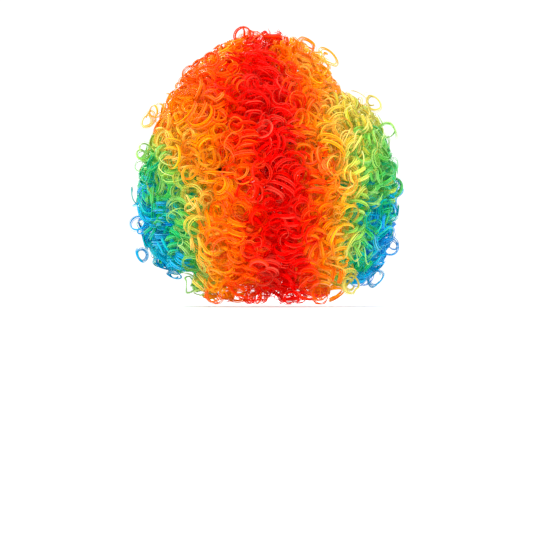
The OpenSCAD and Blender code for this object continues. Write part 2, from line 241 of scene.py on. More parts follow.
def scatter(spacing, depth, tries=9000):
    """Directions over the hair, a spacing apart where they end this deep under its surface."""
    d = unit(rng.normal(size=(tries, 3)))
    d = d[covered(d)]
    thick = reach_out(d) - reach_in(d)
    d = d[thick > depth + 6 * MM]
    spots = d * (reach_out(d) - depth)[:, None]
    kept = np.empty((0, 3))
    chosen = []
    for i, spot in enumerate(spots):
        if not len(kept) or (np.linalg.norm(kept - spot, axis=1) > spacing).all():
            kept = np.vstack([kept, spot])
            chosen.append(i)
    return d[chosen]


def keep_in_space(lines, slack=2 * MM):
    """Eases points back inside the hair's outline and out of the cap's and the wearer's room."""
    away = lines - CENTRE
    reach = np.linalg.norm(away, axis=-1)
    d = away / reach[..., None]
    far = reach_out(d) + slack
    reach = np.where(reach > far, far + (reach - far) * KEPT_PAST, reach)
    reach = np.maximum(reach, cap_reach(d) + OVER_CAP)
    eased = CENTRE + d * reach[..., None]
    share = np.hypot(eased[..., 0] / NECK[0], eased[..., 1] / NECK[1])
    push = np.maximum(1 / np.maximum(share, 0.2), 1)
    push = np.where(eased[..., 2] < NECK_TOP, push, 1)
    eased[..., :2] *= push[..., None]
    under = HEM_LIMIT - eased[..., 2]
    eased[..., 2] += np.where(under > 0, under * LIFTED_UNDER, 0)
    return eased


def banded(lines, outward, width, thick, dye, fade, shade):
    """Strands as bands: each ring's middle, half width and height, its dye and fade, and its shade,
    which is tone at random with painted shade near the root and under the curls.
    """
    count, rings = lines.shape[:2]
    along = unit(np.gradient(lines, axis=1))
    across = unit(np.cross(along, outward))
    up = np.cross(across, along)
    s = np.linspace(0, 1, rings)
    taper = np.sqrt(np.clip(np.minimum(s / 0.04, (1 - s) / 0.12), 0, 1))[None, :, None]
    step = np.linalg.norm(np.diff(lines, axis=1), axis=-1)
    run = np.concatenate([np.zeros((count, 1)), np.cumsum(step, axis=1)], axis=1)
    spread = lambda x: np.broadcast_to(np.asarray(x, float), (count, rings)).copy()
    return {
        "lines": lines,
        "half": across * taper * (np.asarray(width)[..., None, None] / 2),
        "rise": up * taper * np.asarray(thick)[..., None, None],
        "run": run,
        "dye": spread(dye),
        "fade": spread(fade),
        "shade": spread(shade),
    }


def coiled(top, axis, normal, size, reach, turns, per_curl, rings, bow, root, gap=0.8 * MM):
    """Lines of strands coiled side by side round each axis, as one lock, with a loose one last."""
    n = len(top)
    hand = np.where(rng.random((n, 1)) < 0.5, -1, 1)
    each = np.repeat(np.arange(n), per_curl)
    order = np.tile(np.arange(per_curl), n)
    loose = (order == per_curl - 1)[:, None] & (per_curl > 2)
    in_lock = (order - (per_curl - 2) / 2)[:, None] * ~loose
    m = len(each)
    by_curl = lambda low, high: rng.uniform(low, high, (n, 1))[each]
    s = np.linspace(0, 1, rings)[None, :]
    w = rng.normal(0, 1, (m, 6, 1)) * np.where(loose, 2.4, 1.0)[:, None]
    turn = hand[each] * 2 * math.pi * turns[each] * s * (1 + 0.012 * w[:, 0])
    turn = turn + by_curl(0, 2 * math.pi) + 0.07 * w[:, 1]
    turn = turn + 0.45 * np.sin(5.5 * s + by_curl(0, 2 * math.pi) + 0.2 * w[:, 2])
    uneven = 0.9 * max(gap, 0.8 * MM) * rng.normal(0, 1, (m, 1)) * ~loose
    coil = size[each] * (1 + 0.04 * w[:, 3]) + uneven
    coil = coil * (0.4 + 0.6 * smooth(s / 0.2))
    coil = coil * (1 - smooth((s - 0.7) / 0.3) * by_curl(-0.15, 0.5))
    coil = coil * (1 + 0.13 * np.sin(8 * s + by_curl(0, 2 * math.pi)))
    coil = coil * (1 + np.where(loose, 0.3, 0.05 * np.abs(w[:, 5])) * smooth((s - 0.3) / 0.5))
    binormal = np.cross(axis, normal)
    run = (s - 0.45) * reach[each] + in_lock * gap + 0.45 * MM * w[:, 4] * s
    sink = bow[each] * (run**2) / 0.2 + root[each] * (1 - smooth(s / 0.2))
    sway = size[each] * 0.4 * np.sin(3.2 * s + by_curl(0, 2 * math.pi))
    outward = (
        normal[each][:, None] * np.cos(turn)[..., None]
        + binormal[each][:, None] * np.sin(turn)[..., None]
    )
    away = unit(top - CENTRE)
    lines = (
        top[each][:, None]
        + axis[each][:, None] * run[..., None]
        - away[each][:, None] * sink[..., None]
        + binormal[each][:, None] * sway[..., None]
        + outward * coil[..., None]
    )
    return lines, outward, each, loose[:, 0]


def tinted(n, m, each, rings, curl_dye, pale=0.0):
    """Dye, fade and shade along each strand: the tips lighten and take up a neighbour's colour, and
    the half nearer the root is darker as painted shade.
    """
    s = np.linspace(0, 1, rings)[None, :]
    tip = smooth((s - 0.5) / 0.5)
    dye = (curl_dye[each] + rng.normal(0, 0.08, m))[:, None]
    dye = dye + tip * rng.normal(0.06, 0.16, (m, 1))
    own = curl_dye[each][:, None]
    outer = smooth((own - 1.5) / 1.2) * (1 - smooth((own - 3.3) / 0.6))
    fade = rng.normal((pale + 0.16) * outer - 0.03, 0.05, (m, 1))
    fade = fade + tip * rng.normal(0.12 * outer, 0.06, (m, 1))
    shade = rng.normal(1, 0.07, (m, 1)) * rng.normal(1, 0.07, n)[each][:, None]
    # painted shade: each strand is darker over the half nearest its root, where it lies deeper in
    # the hair
    return np.clip(dye, 0, 5), np.clip(fade, 0, 1), shade * (0.88 + 0.14 * smooth(s / 0.5))


def as_bands(lines, outward, width, flat, dye, tints, left, angle):
    bands = banded(lines, outward, width, width * flat, *tints)
    bands["curl_dye"] = np.clip(dye, 0, 4.99)
    bands["left"] = left
    bands["zone"] = np.digitize(angle, ZONE_ENDS)
    return bands


def ringlets(d, depth, radius, pitch, length, per_curl, rings, outward_share, wide):
    """Curls of several strands each, at these directions and this deep. Returns them as bands."""
    n = len(d)
    top = CENTRE + d * (reach_out(d) - depth)[:, None]
    down = unit(np.array([0, 0, -1]) + d * d[:, 2:3] + 0.15 * rng.normal(size=(n, 3)))
    sideways = np.cross(d, down)
    points_out = rng.random((n, 1)) < outward_share
    hanging = down + d * rng.normal(0.1, 0.35, (n, 1)) + sideways * rng.normal(0, 0.7, (n, 1))
    sticking = d + down * rng.normal(0.2, 0.4, (n, 1)) + sideways * rng.normal(0, 0.5, (n, 1))
    axis = unit(np.where(points_out, sticking, hanging))
    normal = np.where(points_out, down, d)
    normal = unit(normal - axis * dot(normal, axis) + 1e-4)
    size = rng.uniform(*radius, (n, 1)) * np.where(rng.random((n, 1)) < 0.15, 1.35, 1.0)
    reach = rng.uniform(*length, (n, 1)) * np.where(points_out, 0.6, 1.0)
    turns = np.minimum(reach / rng.uniform(*pitch, (n, 1)), (rings - 2) / RINGS_PER_TURN)
    root = rng.uniform(12, 22, (n, 1)) * MM * ~points_out
    lines, outward, each, loose = coiled(
        top, axis, normal, size, reach, turns, per_curl, rings, 1.0 * ~points_out, root, wide * 0.62
    )
    lines = keep_in_space(lines)
    dye, left = dye_of(d)
    curl_dye = dye + rng.normal(0, 0.17, n) * (1 + 0.9 * smooth(dye - 2.8))
    m = len(each)
    width = np.where(loose, rng.uniform(0.45, 0.7, m), rng.uniform(0.75, 1.25, m)) * wide
    tints = tinted(n, m, each, rings, curl_dye)
    return as_bands(
        lines, outward, width, 0.26, curl_dye[each], tints, left[each], round_angle(d)[each]
    )


def roots(count, rings=14):
    """Wavy strands from the sewn rows out to the curls, so that no net shows between them."""
    spots = unit(rng.normal(size=(count * 3, 3)))
    spots = spots[covered(spots)]
    spots = spots[reach_out(spots) - reach_in(spots) > 22 * MM][:count]
    n = len(spots)
    s = np.linspace(0, 1, rings)[None, :, None]
    start = reach_in(spots)[:, None, None]
    stop = (reach_out(spots) - rng.uniform(16, 34, n) * MM)[:, None, None]
    down = unit(np.array([0, 0, -1]) + spots * spots[:, 2:3])[:, None]
    aside = np.cross(spots[:, None], down)
    phase = rng.uniform(0, 2 * math.pi, (n, 1, 1))
    waves = rng.uniform(9, 15, (n, 1, 1))
    size = rng.uniform(2, 5, (n, 1, 1)) * MM * np.sqrt(s)
    size = size * (1 + smooth(-2 * spots[:, 2:3, None]))
    lines = CENTRE + spots[:, None] * (start + (stop - start) * s)
    lines = lines + down * (rng.uniform(2, 20, (n, 1, 1)) * MM * s**1.5)
    turn = waves * s + phase
    lines = lines + aside * size * np.sin(turn) + down * size * np.cos(turn)
    lines = keep_in_space(lines)
    dye, left = dye_of(spots)
    own, fade, shade = tinted(n, n, np.arange(n), rings, dye)
    width = rng.uniform(2.6, 4.6, n) * MM
    facing = np.broadcast_to(down, lines.shape)
    # painted shade: these strands under the curls are made a little darker
    tints = (own, 0 * fade, shade * 0.92)
    return as_bands(lines, facing, width, 0.2, dye, tints, left, round_angle(spots))


def flyaways(count, rings=30):
    """Single loops of fine fibre that stand off the curls."""
    d = unit(rng.normal(size=(count * 3, 3)))
    d = d[covered(d)][:count]
    n = len(d)
    top = CENTRE + d * (reach_out(d) - rng.uniform(0, 9, n) * MM)[:, None]
    axis = unit(rng.normal(size=(n, 3)) + 0.3 * d)
    normal = unit(d - axis * dot(d, axis) + 1e-4)
    size = rng.uniform(5, 12, (n, 1)) * MM
    reach = rng.uniform(8, 30, (n, 1)) * MM
    turns = rng.uniform(0.6, 2.4, (n, 1))
    none = np.zeros((n, 1))
    lines, outward, each, _ = coiled(top, axis, normal, size, reach, turns, 2, rings, none, none)
    lines = keep_in_space(lines, 8 * MM)
    dye, left = dye_of(d)
    m = len(each)
    tints = tinted(n, m, each, rings, dye, pale=0.2)
    width = rng.uniform(0.7, 1.3, m) * MM
    return as_bands(lines, outward, width, 0.5, dye[each], tints, left[each], round_angle(d)[each])


def stray_locks(rings=44, per_curl=8):
    """Locks that have sprung out of the round of the hair. Millimetres from the frame's centre:
    the middle of the loop, the way its axis points, its radius, turns, length and dye."""
    placed = [
        ((30, 20, 200), (0.5, 1, 0.2), 9, 1.6, 12, 0.9),
        ((-48, 40, 184), (0.3, 1, -0.4), 10, 2.0, 14, 1.4),
        ((-72, 35, 176), (-0.2, 1, 0.3), 11, 1.4, 10, 2.3),
        ((68, 55, 166), (0.2, 1, 0.3), 8, 2.2, 14, 0.9),
        ((92, 50, 148), (-0.3, 1, 0.2), 9, 1.8, 12, 1.2),
        ((146, 30, 96), (0.1, 1, 0.2), 10, 1.5, 9, 2.6),
        ((134, 40, 108), (0.4, 1, -0.2), 9, 1.5, 9, 2.3),
        ((148, 25, 58), (-0.3, 1, 0.3), 8, 1.6, 10, 2.9),
        ((152, 30, -28), (0.2, 1, 0.4), 9, 1.7, 12, 4.9),
        ((150, 28, -66), (-0.4, 1, 0.1), 9, 1.5, 12, 4.8),
        ((112, 42, -92), (0.4, 1, 0.3), 8, 1.8, 12, 4.8),
        ((96, 60, -98), (-0.3, 1, 0.1), 10, 1.3, 12, 2.7),
        ((-126, 40, 118), (0.3, 1, 0.3), 10, 1.7, 10, 2.7),
        ((-144, 30, 82), (0.1, 1, -0.4), 11, 1.3, 9, 3.1),
        ((-150, 26, 20), (0.4, 1, 0.3), 10, 1.8, 12, 3.3),
        ((-146, 30, -52), (-0.2, 1, 0.3), 9, 1.8, 12, 4.9),
        ((-128, 44, -92), (0.3, 1, 0.2), 9, 2.0, 12, 4.7),
        ((-98, 66, -98), (-0.4, 1, 0.2), 10, 1.5, 12, 2.4),
        ((60, 84, -112), (0.3, 1, 0.1), 9, 1.8, 12, 1.2),
        ((-62, 86, -112), (-0.3, 1, 0.2), 9, 1.8, 12, 1.3),
        ((18, 96, -112), (0.2, 1, 0.2), 8, 1.8, 12, 0.3),
        ((-24, 96, -114), (-0.2, 1, -0.2), 8, 1.8, 12, 0.9),
    ]
    n = len(placed)
    column = lambda k: np.array([row[k] for row in placed], float)
    top, axis = column(0) * MM, unit(column(1))
    size, turns, reach = column(2)[:, None] * MM, column(3)[:, None], column(4)[:, None] * MM
    away = unit(top - CENTRE)
    normal = unit(away - axis * dot(away, axis))
    none = np.zeros((n, 1))
    lines, outward, each, loose = coiled(
        top, axis, normal, size, reach, turns, per_curl, rings, none, none, 0.5 * MM
    )
    lines = keep_in_space(lines, 14 * MM)
    dye = (column(5) + dye_of(away)[0]) / 2
    m = len(each)
    width = np.where(loose, 0.8, rng.uniform(1.1, 1.7, m)) * MM
    tints = tinted(n, m, each, rings, dye, pale=0.1)
    angle = round_angle(away)[each]
    return as_bands(lines, outward, width, 0.3, dye[each], tints, (top[:, 0] > 0)[each], angle)


# --- Meshes ---------------------------------------------------------------------------------------


def add_object(name, data):
    made = bpy.data.objects.new(name, data)
    bpy.context.scene.collection.objects.link(made)
    return made


def mesh_of(name, bm):
    mesh = bpy.data.meshes.new(name)
    bm.to_mesh(mesh)
    bm.free()
    return mesh


def extruded_band(name, count_of_points, edges):
    """Each line of edges is extruded three times: to a ridge, a far edge and back to its start."""
    mesh = bpy.data.meshes.new(name)
    mesh.from_pydata(np.zeros((count_of_points, 3)), edges, [])
    bm = bmesh.new()
    bm.from_mesh(mesh)
    point = bm.verts.layers.int.new("point")
    corner = bm.verts.layers.int.new("corner")
    for vert in bm.verts:
        vert[point] = vert.index
    line = bm.edges[:]
    for turn in (1, 2, 3):
        made = bmesh.ops.extrude_edge_only(bm, edges=line)["geom"]
        fresh = {v for v in made if isinstance(v, bmesh.types.BMVert)}
        for vert in fresh:
            vert[corner] = turn
        line = [
            e
            for e in made
            if isinstance(e, bmesh.types.BMEdge) and fresh.issuperset(e.verts)
        ]
    bm.to_mesh(mesh)
    bm.free()
    return mesh


def numbers(data, key, width=1, kind=np.float32):
    values = np.empty(len(data) * width, kind)
    data.foreach_get(key, values)
    return values.reshape(-1, width) if width > 1 else values


def points_of(mesh):
    return numbers(mesh.vertices, "co", 3).astype(float)


def set_points(mesh, points):
    mesh.vertices.foreach_set("co", points.astype(np.float32).ravel())


def band_piece(name, bundles, material):
    """One piece of hair from bundles of bands."""
    flat = lambda key: np.concatenate([b[key].reshape(-1, *b[key].shape[2:]) for b in bundles])
    middle, half, rise = flat("lines"), flat("half"), flat("rise")
    rings = np.concatenate([np.full(len(b["lines"]), b["lines"].shape[1]) for b in bundles])
    first = np.concatenate([[0], np.cumsum(rings)[:-1]])
    strand = np.repeat(np.arange(len(rings)), rings)
    edges = np.delete(np.arange(len(middle) - 1), first[1:] - 1)
    mesh = extruded_band(name, len(middle), np.stack([edges, edges + 1], 1).tolist())

    point = numbers(mesh.attributes["point"].data, "value", kind=np.int32)
    corner = numbers(mesh.attributes["corner"].data, "value", kind=np.int32)
    side = np.choose(corner, [-1, 0, 1, -1])[:, None]
    up = (corner == 1)[:, None]
    set_points(mesh, middle[point] + half[point] * side + rise[point] * up)

    # the fibre map: metres along and across each strand
    loops = numbers(mesh.loops, "vertex_index", kind=np.int32)
    run = flat("run")
    at = point[loops]
    across = corner[loops] / 3
    fibre = mesh.uv_layers.new(name="fibre")
    offset = (strand[at] * 0.618) % 1
    uv = np.stack([run[at] + offset, across * 2.2 * MM + offset], 1)
    fibre.data.foreach_set("uv", uv.astype(np.float32).ravel())

    # the bake map: strands side by side in columns
    columns = max(1, round(math.sqrt(len(rings) / 14)))
    rows = math.ceil(len(rings) / columns)
    share = (np.arange(len(middle)) - first[strand]) / (rings[strand] - 1)
    column, row = strand[at] % columns, strand[at] // columns
    u = (column + 0.03 + 0.94 * share[at]) / columns
    v = (row + 0.08 + 0.84 * across) / rows
    bake = mesh.uv_layers.new(name="OFBake")
    bake.data.foreach_set("uv", np.stack([u, v], 1).astype(np.float32).ravel())

    for key in ("dye", "fade", "shade"):
        values = mesh.attributes.new(key, "FLOAT", "POINT")
        values.data.foreach_set("value", flat(key)[point].astype(np.float32))

    bm = bmesh.new()
    bm.from_mesh(mesh)
    bmesh.ops.remove_doubles(bm, verts=bm.verts, dist=1e-7)
    bmesh.ops.recalc_face_normals(bm, faces=bm.faces)
    for face in bm.faces:
        face.smooth = True
    bm.to_mesh(mesh)
    bm.free()
    for key in ("point", "corner"):
        mesh.attributes.remove(mesh.attributes[key])
    mesh.uv_layers.active = mesh.uv_layers["fibre"]
    mesh.materials.append(material)
    return add_object(name, mesh)


# --- Materials ------------------------------------------------------------------------------------

# Screen colours from the red's middle (0) to the end of the blue (1).
RAINBOW = [
    (0.00, "#e40000"),
    (0.12, "#f00200"),
    (0.20, "#f81c00"),
    (0.27, "#ff5a00"),
    (0.35, "#ff8a00"),
    (0.42, "#ffb000"),
    (0.50, "#e8c400"),
    (0.57, "#b4cc08"),
    (0.64, "#58c828"),
    (0.74, "#18bc58"),
    (0.82, "#00bca0"),
    (0.89, "#00b0e0"),
    (1.00, "#0090e0"),
]
PALE_FIBRE = "#f4f0b8"
# Noise cells to the metre, along and across a strand.
FINE_STREAKS = (60, 5200, 1)
BROAD_STREAKS = (90, 700, 1)
# Painted glow: the fibre gives off its own colour as light, standing in for light that comes
# through the fibre from behind and lifting the shade in its hollows.
PAINTED_FIBRE_GLOW = 0.16

RIB_PITCH = 1.5 * MM
RIB_THREADS = 700
RIB_THREAD_HEIGHT = 0.4


def feed(tree, socket, value):
    """Gives an input a constant, or links another node's output to it."""
    if isinstance(value, bpy.types.NodeSocket):
        tree.links.new(value, socket)
    else:
        socket.default_value = value


def node(tree, kind, place, inputs=None, **settings):
    """A new shader node. Its inputs are given by name or number."""
    made = tree.nodes.new(kind)
    made.location = place
    for key, value in settings.items():
        setattr(made, key, value)
    for key, value in (inputs or {}).items():
        feed(tree, made.inputs[key], value)
    return made


def maths(tree, operation, place, *values, clamp=False):
    made = node(
        tree, "ShaderNodeMath", place, dict(enumerate(values)), operation=operation, use_clamp=clamp
    )
    return made.outputs[0]


def vectors(tree, operation, place, first, **others):
    """A Vector Math node's outputs. Others are a second vector (by) or a scale."""
    inputs = {0: first}
    if "by" in others:
        inputs[1] = others["by"]
    if "scale" in others:
        inputs["Scale"] = others["scale"]
    return node(tree, "ShaderNodeVectorMath", place, inputs, operation=operation).outputs


def noise(tree, place, vector, scale, detail, roughness=0.5, dimensions="3D"):
    inputs = {"Vector": vector, "Scale": scale, "Detail": detail, "Roughness": roughness}
    made = node(tree, "ShaderNodeTexNoise", place, inputs, noise_dimensions=dimensions)
    return made.outputs["Fac"]


def ramp(tree, place, factor, stops):
    """The colour for this factor between (position, screen colour) stops."""
    made = node(tree, "ShaderNodeValToRGB", place, {0: factor})
    elements = made.color_ramp.elements
    while len(elements) < len(stops):
        elements.new(0.5)
    for element, (position, colour) in zip(elements, stops):
        element.position = position
        element.color = linear(colour)
    return made.outputs["Color"]


def mixed(tree, place, factor, a, b):
    inputs = {"Factor": factor, "A": a, "B": b}
    return node(tree, "ShaderNodeMix", place, inputs, data_type="RGBA").outputs["Result"]


def mapped(tree, place, value, low, high):
    """A value from 0 to 1 turned into one from low to high."""
    inputs = {"Value": value, "To Min": low, "To Max": high}
    return node(tree, "ShaderNodeMapRange", place, inputs).outputs["Result"]


def bumped(tree, place, height, strength, distance):
    inputs = {"Height": height, "Strength": strength, "Distance": distance}
    return node(tree, "ShaderNodeBump", place, inputs).outputs["Normal"]


def object_place(tree, place):
    return node(tree, "ShaderNodeTexCoord", place).outputs["Object"]


def new_group(name, numbers_in, colours_in=()):
    """A group that gives a colour, a roughness and a height. Returns it and its sockets."""
    tree = bpy.data.node_groups.new(name, "ShaderNodeTree")
    face = tree.interface
    for key, start in numbers_in.items():
        socket = face.new_socket(name=key, in_out="INPUT", socket_type="NodeSocketFloat")
        socket.default_value = start
        socket.min_value = 0
    for key in colours_in:
        face.new_socket(name=key, in_out="INPUT", socket_type="NodeSocketColor")
    for key, kind in (("Color", "Color"), ("Roughness", "Float"), ("Height", "Float")):
        face.new_socket(name=key, in_out="OUTPUT", socket_type=f"NodeSocket{kind}")
    given = node(tree, "NodeGroupInput", (-1200, 0))
    out = node(tree, "NodeGroupOutput", (900, 0))
    return tree, given.outputs, out.inputs


def new_material(name):
    material = bpy.data.materials.new(name)
    material.use_nodes = True
    return material, material.node_tree


def set_surface(material, values):
    tree = material.node_tree
    for key, value in values.items():
        feed(tree, tree.nodes["Principled BSDF"].inputs[key], value)
    return material


def dyed_fibre_group():
    """Colour, roughness and height of crimped fibre, from each strand's dye, fade and shade."""
    tree, given, out = new_group("dyed fibre", {"Streaks": 0.3})
    dye, fade, shade = [
        node(tree, "ShaderNodeAttribute", (-1200, y), attribute_name=key).outputs["Fac"]
        for key, y in (("dye", 300), ("fade", 520), ("shade", -300))
    ]
    share = maths(tree, "MULTIPLY", (-980, 300), dye, 1 / len(COLOURS))
    rainbow = ramp(tree, (-780, 300), share, RAINBOW)

    # fine fibres: long streaks along each strand
    uv = node(tree, "ShaderNodeUVMap", (-1200, -80), uv_map="fibre").outputs[0]
    fine_place = vectors(tree, "MULTIPLY", (-980, -80), uv, by=FINE_STREAKS)[0]
    fine = noise(tree, (-780, -80), fine_place, 1.0, 3.0, 0.6, "2D")
    broad_place = vectors(tree, "MULTIPLY", (-980, -420), uv, by=BROAD_STREAKS)[0]
    broad = noise(tree, (-780, -420), broad_place, 1.0, 2.0, 0.5, "2D")

    # streaks turn the brightness up and down about the strand's shade, its tone at random with
    # painted shade near the root
    centred = maths(tree, "SUBTRACT", (-560, -80), fine, 0.5)
    tone = maths(tree, "MULTIPLY_ADD", (-380, -80), centred, given["Streaks"], shade)
    toned = vectors(tree, "SCALE", (-180, 200), rainbow, scale=tone)[0]

    # pale fibres among the dyed ones
    colour = mixed(tree, (60, 200), fade, toned, linear(PALE_FIBRE))
    feed(tree, out["Color"], colour)
    feed(tree, out["Roughness"], mapped(tree, (60, -200), broad, 0.15, 0.3))
    feed(tree, out["Height"], fine)
    return tree


def fibre_material(name, group, sheen):
    """Glossy dyed fibre. Its highlights take a lighter tone of the dye."""
    material, tree = new_material(name)
    fibre = node(tree, "ShaderNodeGroup", (-600, 0), node_tree=group).outputs
    return set_surface(material, {
        "Base Color": fibre["Color"],
        "Roughness": fibre["Roughness"],
        "Normal": bumped(tree, (-300, -300), fibre["Height"], 0.35, 0.3 * MM),
        # painted glow: the fibre gives off its own colour, lifting the shade between strands
        "Emission Color": fibre["Color"],
        "Emission Strength": PAINTED_FIBRE_GLOW,
        "Specular IOR Level": 0.36,
        "Specular Tint": linear(sheen),
    })


def cloth_pattern_group():
    """Thread height and tone for woven cloth: a checker of crests in all three directions."""
    tree, given, out = new_group("woven threads", {"Threads per metre": 1500}, ("Dark", "Light"))
    place = object_place(tree, (-1100, -200))
    turns = maths(tree, "MULTIPLY", (-900, 0), given["Threads per metre"], math.pi)
    scaled = vectors(tree, "SCALE", (-720, -100), place, scale=turns)[0]
    crests = vectors(tree, "SINE", (-540, -100), scaled)[0]
    parts = node(tree, "ShaderNodeSeparateXYZ", (-360, -100), {0: crests}).outputs
    two = maths(tree, "MULTIPLY", (-180, 0), parts["X"], parts["Y"])
    three = maths(tree, "MULTIPLY_ADD", (-180, -200), two, parts["Z"], 0.5)
    fuzz = noise(tree, (-360, -400), place, 900.0, 3.0)
    height = maths(tree, "MULTIPLY_ADD", (0, -200), fuzz, 0.35, three, clamp=True)
    # painted shade and highlight: the tone runs from Dark in the hollows between threads to Light
    # on the crests
    feed(tree, out["Color"], mixed(tree, (220, 100), height, given["Dark"], given["Light"]))
    feed(tree, out["Height"], height)
    feed(tree, out["Roughness"], mapped(tree, (220, -300), height, 0.85, 0.6))
    return tree


def cloth_material(name, group, dark, light, threads, bump=0.3 * MM, sheen=0.2):
    """Woven or knitted cloth, ribbon, tape or thread."""
    material, tree = new_material(name)
    inputs = {"Threads per metre": threads, "Dark": linear(dark), "Light": linear(light)}
    weave = node(tree, "ShaderNodeGroup", (-600, 0), inputs, node_tree=group)
    return set_surface(material, {
        "Base Color": weave.outputs["Color"],
        "Roughness": weave.outputs["Roughness"],
        "Normal": bumped(tree, (-300, -300), weave.outputs["Height"], 0.6, bump),
        "Sheen Weight": sheen,
        "Specular IOR Level": 0.3,
    })


def ribbed_elastic_material(name):
    """Black elastic with cords along it, at the rim's slope, and fine threads across."""
    material, tree = new_material(name)
    place = object_place(tree, (-1200, 0))
    slope = vectors(tree, "DOT_PRODUCT", (-1000, 100), place, by=(0, RIM_SLOPE, 1))["Value"]
    cords = maths(tree, "MULTIPLY", (-800, 100), slope, math.pi * 2 / RIB_PITCH)
    ridge = maths(tree, "SINE", (-620, 100), cords)
    parts = node(tree, "ShaderNodeSeparateXYZ", (-1000, -200), {0: place}).outputs
    round_rim = maths(tree, "ARCTAN2", (-800, -200), parts["X"], parts["Y"])
    threads = maths(tree, "MULTIPLY", (-620, -200), round_rim, RIB_THREADS)
    crest = maths(tree, "SINE", (-440, -200), threads)
    height = maths(tree, "MULTIPLY_ADD", (-260, 0), crest, RIB_THREAD_HEIGHT, ridge)
    most = 1 + RIB_THREAD_HEIGHT
    inputs = {"Value": height, "From Min": -most, "From Max": most}
    share = node(tree, "ShaderNodeMapRange", (-80, 100), inputs).outputs["Result"]
    return set_surface(material, {
        # painted shade and highlight: darker in the grooves, lighter on the cords and threads
        "Base Color": ramp(tree, (120, 200), share, [(0, "#0c0c0e"), (1, "#2c2c30")]),
        "Normal": bumped(tree, (120, -200), share, 0.7, 0.4 * MM),
        "Roughness": 0.7,
        "Sheen Weight": 0.15,
    })


def sewn_fibre_material(name, dye, deep):
    """A weft's head: fibre folded over and caught down by rows of black machine stitches."""
    material, tree = new_material(name)
    place = object_place(tree, (-1100, 0))
    inputs = {"Vector": place, "Scale": (300, 2600, 2600)}
    stretched = node(tree, "ShaderNodeMapping", (-900, 0), inputs).outputs["Vector"]
    fibres = noise(tree, (-700, 0), stretched, 1.0, 3.0)
    tone = ramp(tree, (-480, 100), fibres, [(0.3, deep), (0.7, dye)])
    inputs = {"Vector": place, "Scale": 950.0, "Randomness": 0.2}
    stitches = node(tree, "ShaderNodeTexVoronoi", (-700, -300), inputs).outputs["Distance"]
    stitched = maths(tree, "LESS_THAN", (-480, -300), stitches, 0.3)
    return set_surface(material, {
        "Base Color": mixed(tree, (-220, 100), stitched, tone, linear("#141416")),
        "Normal": bumped(tree, (-220, -300), fibres, 0.6, 0.4 * MM),
        "Roughness": 0.45,
    })


def moulded_plastic_material(name):
    """Black plastic from a mould: a fine grain and a little polish where it is handled."""
    material, tree = new_material(name)
    place = object_place(tree, (-900, 0))
    grain = noise(tree, (-700, -200), place, 3500.0, 2.0)
    clouds = noise(tree, (-700, 100), place, 300.0, 2.0)
    return set_surface(material, {
        "Base Color": ramp(tree, (-450, 200), clouds, [(0.3, "#18181b"), (0.7, "#242428")]),
        "Roughness": mapped(tree, (-450, -60), clouds, 0.22, 0.4),
        "Normal": bumped(tree, (-450, -320), grain, 0.25, 0.1 * MM),
    })


# --- The cap --------------------------------------------------------------------------------------

SIDES = ("left", "right")
# Height of a sewing thread's middle over the cloth that it is sewn to.
THREAD_LIFT = 0.05 * MM


def finish_piece(piece, material, body, slot, *nodes):
    piece.data.materials.clear()
    piece.data.materials.append(material)
    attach(piece, body)
    if nodes:
        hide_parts(*nodes)
    return piece


def copy_of(name, part, keep=None, cuts=0):
    """A new piece in a CAD part's shape, its corners merged. keep says which faces stay."""
    mesh = frame["nodes"][part].data.copy()
    mesh.name = name
    bm = bmesh.new()
    bm.from_mesh(mesh)
    bmesh.ops.remove_doubles(bm, verts=bm.verts, dist=1e-6)
    if keep:
        lost = [f for f in bm.faces if not keep(f)]
        bmesh.ops.delete(bm, geom=lost, context="FACES")
        bmesh.ops.join_triangles(
            bm, faces=bm.faces, angle_face_threshold=0.6, angle_shape_threshold=1.2
        )
    if cuts:
        bmesh.ops.subdivide_edges(bm, edges=bm.edges, cuts=cuts, use_grid_fill=True)
    bm.to_mesh(mesh)
    bm.free()
    return add_object(name, mesh)


def soften(piece, width, segments=2, angle=40):
    """Rounds a piece's edges."""
    bevel = piece.modifiers.new("soft edges", "BEVEL")
    bevel.width = width
    bevel.segments = segments
    bevel.limit_method = "ANGLE"
    bevel.angle_limit = math.radians(angle)
    bevel.harden_normals = False
    return piece


def pucker(piece, amount, seed, scale=60):
    """Moves each corner in or out a little, as sewn elastic and ribbon pucker."""
    points = points_of(piece.data)
    wave = lumps(points * scale, seed, scale=6.0)
    set_points(piece.data, points + unit(points - CENTRE) * (amount * wave)[:, None])
    piece.data.update()
    return piece


def rim_point(angle, lift, offset):
    """A point on a layer of the cap, this high above the plane of the opening."""
    a, b, c = NET - BAND_DEPTH + offset
    turned = math.radians(angle)
    start = lift - CENTRE_HEIGHT
    fall = RIM_SLOPE * b * math.cos(turned)
    # the layer's radius here solves qa r^2 + qb r + qc = 0
    qa = 1 + (fall / c) ** 2
    qb = 2 * start * fall / c**2
    qc = (start / c) ** 2 - 1
    size = (-qb + math.sqrt(qb * qb - 4 * qa * qc)) / (2 * qa)
    return Vector(
        (size * a * math.sin(turned), -size * b * math.cos(turned), lift + size * fall)
    )


def thread(name, lines, material, slot, body="cap", thick=0.3 * MM):
    """Sewing thread along one or more lines of points."""
    curve = bpy.data.curves.new(name, "CURVE")
    curve.dimensions = "3D"
    curve.bevel_depth = thick / 2
    curve.bevel_resolution = 0
    curve.use_fill_caps = True
    for line in lines:
        spline = curve.splines.new("POLY")
        spline.points.add(len(line) - 1)
        for point, at in zip(spline.points, line):
            point.co = (*at, 1)
    return finish_piece(add_object(name, curve), material, body, slot)


